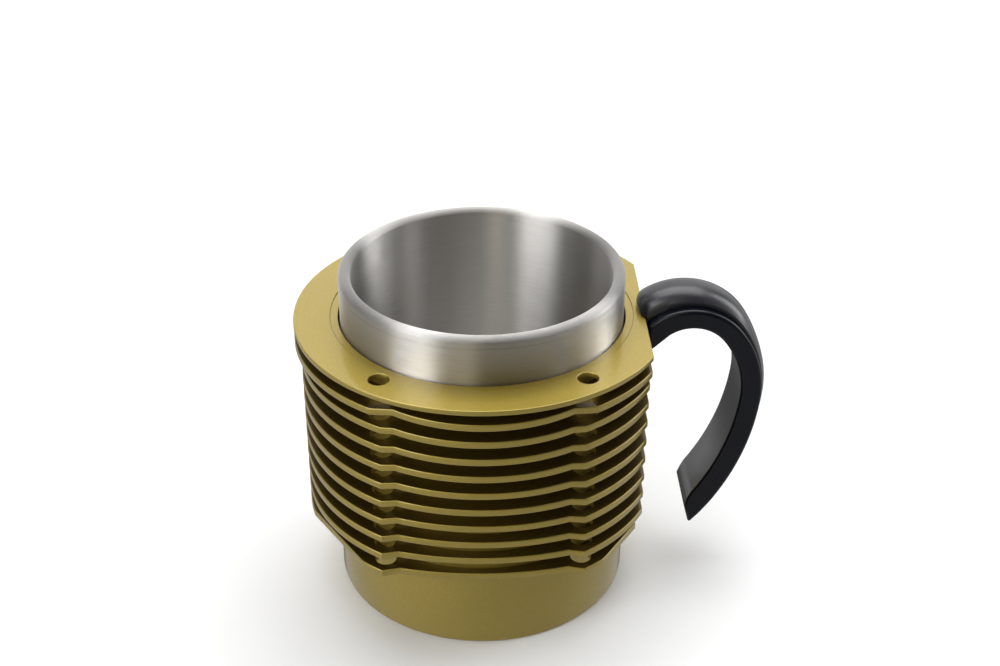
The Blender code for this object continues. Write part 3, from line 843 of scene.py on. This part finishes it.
def hook_path(steps, first, last):
    """(point, outward normal, share of the length) along the hook, in mm."""
    total = sum(math.radians(turn) * radius for radius, turn in HOOK_ARCS)
    found = []
    for k in range(steps + 1):
        share = first + (last - first) * k / max(1, steps)
        left = share * total
        x, z = HOOK_START
        heading = math.radians(HOOK_HEADING)
        for number, (radius, turn) in enumerate(HOOK_ARCS):
            long = radius * math.radians(turn)
            here = left if number == len(HOOK_ARCS) - 1 or left < long else long
            cx, cz = x + radius * math.sin(heading), z - radius * math.cos(heading)
            heading -= here / radius
            x, z = cx - radius * math.sin(heading), cz + radius * math.cos(heading)
            left -= here
            if left <= 0:
                break
        found.append(((x, z), (-math.sin(heading), math.cos(heading)), share))
    return found


def bar_depth(share):
    """The bar thickens from its root to its tip."""
    return 5.8 + 1.5 * share


def loft(name, sections):
    """Skin sections of (x, y, z) points in mm and close both ends."""
    bm = bmesh.new()
    rows = [[bm.verts.new(Vector(point) * MM) for point in section] for section in sections]
    count = len(rows[0])
    for near, far in zip(rows, rows[1:]):
        for i in range(count):
            n = (i + 1) % count
            bm.faces.new((near[i], near[n], far[n], far[i]))
    bm.faces.new(rows[0][::-1])
    bm.faces.new(rows[-1])
    bmesh.ops.recalc_face_normals(bm, faces=bm.faces)
    for face in bm.faces:
        face.smooth = True
    mesh = bpy.data.meshes.new(name)
    bm.to_mesh(mesh)
    bm.free()
    return new_object(name, mesh)


# %% Bar
FILLET, FILLET_SHARE = 1.2, 0.25        # mm thicker at the root, gone at this share of the length


def bar_section(point, normal, depth, share=1.0):
    """Four corners of the bar; near the root a fillet thickens its inner side."""
    outer = depth / 2
    inner = -outer - FILLET * max(0.0, 1 - share / FILLET_SHARE) ** 2
    return [(point[0] + normal[0] * d, y, point[1] + normal[1] * d)
            for y, d in ((BAR_HALF_WIDTH, outer), (-BAR_HALF_WIDTH, outer),
                         (-BAR_HALF_WIDTH, inner), (BAR_HALF_WIDTH, inner))]


bar_root_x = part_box("handle_bar")[0].x / MM
sections = [bar_section((bar_root_x, 85.4), (0.0, 1.0), 8.4, 0.0)]
sections += [bar_section(p, n, bar_depth(s), s) for p, n, s in hook_path(80, 0.045, 0.93)]
sections.append(bar_section((67.15, 23.75), (0.602, -0.798), 7.1))
sections.append(bar_section((65.05, 20.47), (0.257, -0.966), 7.4))
bar = loft("hook_bar", sections)
round_edges(bar, 1.3, 4)
keep(bar, "body", "black_satin_coat", black_coat, "handle_bar")

# %% [markdown]
# ## The rib on the hook's back
# The rib is a domed strip, proud at the crown and sinking into the bar half way down.
# It is narrower than the bar, so a strip of the bar stays bare along each side of it.
# Near its inner end its width and its dome shrink along a quarter circle, so it ends like a
# thumbnail over the edge of the flange.
# A box cut with Boolean gives it the seat that clears the flange.

# %% Rib
HOOK_CENTRE = (HOOK_START[0] + HOOK_ARCS[0][0] * math.sin(math.radians(HOOK_HEADING)),
               HOOK_START[1] - HOOK_ARCS[0][0] * math.cos(math.radians(HOOK_HEADING)))
HOOK_LENGTH = sum(math.radians(turn) * radius for radius, turn in HOOK_ARCS)
print("hook", round(HOOK_LENGTH, 1), "mm long along its middle line")
RIB_END_X, RIB_ROUND, RIB_FIRST, RIB_LAST = 46.4, 1.5, 0.03, 0.9
RIB_SUNK = 0.42                         # share of the length by which the rib has sunk
DOME_POWER = 2.8                        # higher is squarer; 2 would be a plain parabola


def rib_outline(share, inset=0.0):
    """(y, distance from the middle line) across the rib."""
    fade = min(1.0, max(0.0, share) / RIB_SUNK)
    fade = fade * fade * (3 - 2 * fade)
    base = bar_depth(max(0.0, share)) / 2 + 0.05
    shoulder = base + 2.0 - 1.6 * fade
    dome = 3.4 - 2.1 * fade - inset
    width = RIB_HALF_WIDTH - inset
    outline = [(-width, base), (-width, shoulder)]
    for i in range(1, 16):
        across = i / 8 - 1
        outline.append((width * across, shoulder + dome * (1 - abs(across) ** DOME_POWER)))
    return outline + [(width, shoulder), (width, base)]


def end_share(y, distance, advance):
    """Share of the path at which a point so far from the middle line meets the rib's end."""
    x = RIB_END_X + advance + 1.8 * (y / RIB_HALF_WIDTH) ** 2
    heading = math.asin((HOOK_CENTRE[0] - x) / (HOOK_ARCS[0][0] + distance))
    return (math.radians(HOOK_HEADING) - heading) * HOOK_ARCS[0][0] / HOOK_LENGTH


def rib_point(y, distance, share):
    """A point of the rib from its place across, above and along the hook."""
    (x, z), normal, _ = hook_path(0, share, share)[0]
    return (x + normal[0] * distance, y, z + normal[1] * distance)


sections = []
for step in range(6):
    a = math.radians(18 * step)
    inset, advance = RIB_ROUND * (1 - math.sin(a)), RIB_ROUND * (1 - math.cos(a))
    sections.append([rib_point(y, d, end_share(y, d, advance)) for y, d in rib_outline(0.0, inset)])
for step in range(1, 101):
    share = RIB_FIRST + (RIB_LAST - RIB_FIRST) * step / 100
    lag = max(0.0, 1 - step / 9) ** 2
    section = []
    for (y, d), (y0, d0) in zip(rib_outline(share), rib_outline(0.0)):
        start = end_share(y0, d0, RIB_ROUND)
        section.append(rib_point(y, d, share + (start - RIB_FIRST) * lag))
    sections.append(section)
rib = loft("hook_rib", sections)

SEAT_X, SEAT_TOP = 48.9, 91.3           # just clear of the flange's edge and of its top
print("flange edge", round(FLAT_X, 2), "and top", round(flange_top, 2), "mm")
seat_side = [(-13, 70), (13, 70), (13, SEAT_TOP), (-13, SEAT_TOP)]
seat = loft("seat_cutter", [[(x, y, z) for y, z in seat_side] for x in (30, SEAT_X)])
cut = rib.modifiers.new("seat", "BOOLEAN")
cut.operation = "DIFFERENCE"
cut.object = seat
cut.solver = "EXACT"
rib = settle(rib)
bpy.data.objects.remove(seat)
rib.data.set_sharp_from_angle(angle=math.radians(40))
keep(rib, "body", "charcoal_satin_coat", charcoal_coat, "handle_strip")
